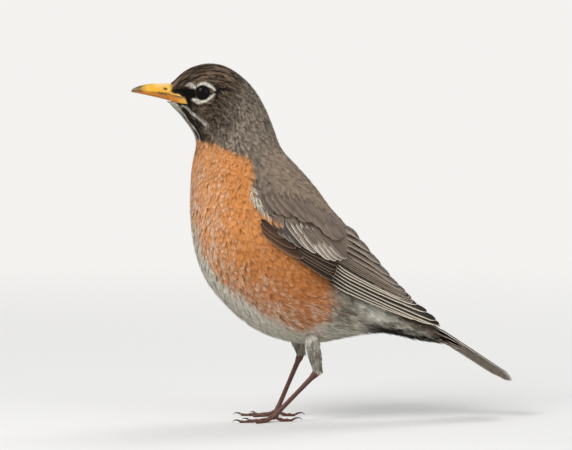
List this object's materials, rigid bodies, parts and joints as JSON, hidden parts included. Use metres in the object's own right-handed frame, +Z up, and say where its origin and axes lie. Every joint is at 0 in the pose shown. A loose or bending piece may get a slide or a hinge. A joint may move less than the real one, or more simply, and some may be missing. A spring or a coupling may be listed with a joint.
{
  "type": "american robin",
  "caption": "Still life-size american robin standing alert on both feet, wings folded, tail lowered, with rufous breast and yellow bill.",
  "frame": {"origin": "middle of the model's footprint, on the floor the toes stand on", "axes": "+X from the bill to the tail, -Y is the bird's left side, +Z up"},
  "size_m": [0.2012, 0.0686, 0.1872],
  "materials": {
    "crown_feathers": "short dense feathers, nearly black brown",
    "neck_feathers": "grey brown feathers with darker edges",
    "breast_feathers": "rufous orange feathers, many with pale tips",
    "belly_feathers": "loose whitish feathers",
    "rump_feathers": "grey brown above, grey and white below",
    "thigh_feathers": "short grey and white feathers",
    "wing_coverts": "grey brown feathers with paler edges",
    "flight_feathers": "dark brown feathers with narrow pale edges",
    "tail_feathers": "dark brown feathers, paler at the edges",
    "bill_horn": "smooth yellow horn, dusky at the tip",
    "eye_gloss": "wet, nearly black",
    "leg_scales": "dark reddish brown scales, semi-matte",
    "claw_horn": "dark horn, semi-gloss"
  },
  "bodies": {
    "root": {"bill_lower": "bill_horn", "bill_upper": "bill_horn", "claw_left_hind": "claw_horn", "claw_left_inner": "claw_horn", "claw_left_middle": "claw_horn", "claw_left_outer": "claw_horn", "claw_right_hind": "claw_horn", "claw_right_inner": "claw_horn", "claw_right_middle": "claw_horn", "claw_right_outer": "claw_horn", "eye_left": "eye_gloss", "eye_right": "eye_gloss", "head": "crown_feathers", "neck": "neck_feathers", "rump": "rump_feathers", "shank_left": "leg_scales", "shank_right": "leg_scales", "tail_left_1": "tail_feathers", "tail_left_2": "tail_feathers", "tail_left_3": "tail_feathers", "tail_left_4": "tail_feathers", "tail_left_5": "tail_feathers", "tail_left_6": "tail_feathers", "tail_right_1": "tail_feathers", "tail_right_2": "tail_feathers", "tail_right_3": "tail_feathers", "tail_right_4": "tail_feathers", "tail_right_5": "tail_feathers", "tail_right_6": "tail_feathers", "thigh_left": "thigh_feathers", "thigh_right": "thigh_feathers", "toe_left_hind": "leg_scales", "toe_left_inner": "leg_scales", "toe_left_middle": "leg_scales", "toe_left_outer": "leg_scales", "toe_right_hind": "leg_scales", "toe_right_inner": "leg_scales", "toe_right_middle": "leg_scales", "toe_right_outer": "leg_scales", "trunk": "breast_feathers", "wing_left_alula": "flight_feathers", "wing_left_greater_coverts": "wing_coverts", "wing_left_primaries": "flight_feathers", "wing_left_secondaries": "flight_feathers", "wing_left_shoulder": "wing_coverts", "wing_left_tertials": "flight_feathers", "wing_right_alula": "flight_feathers", "wing_right_greater_coverts": "wing_coverts", "wing_right_primaries": "flight_feathers", "wing_right_secondaries": "flight_feathers", "wing_right_shoulder": "wing_coverts", "wing_right_tertials": "flight_feathers"}
  },
  "joints": []
}
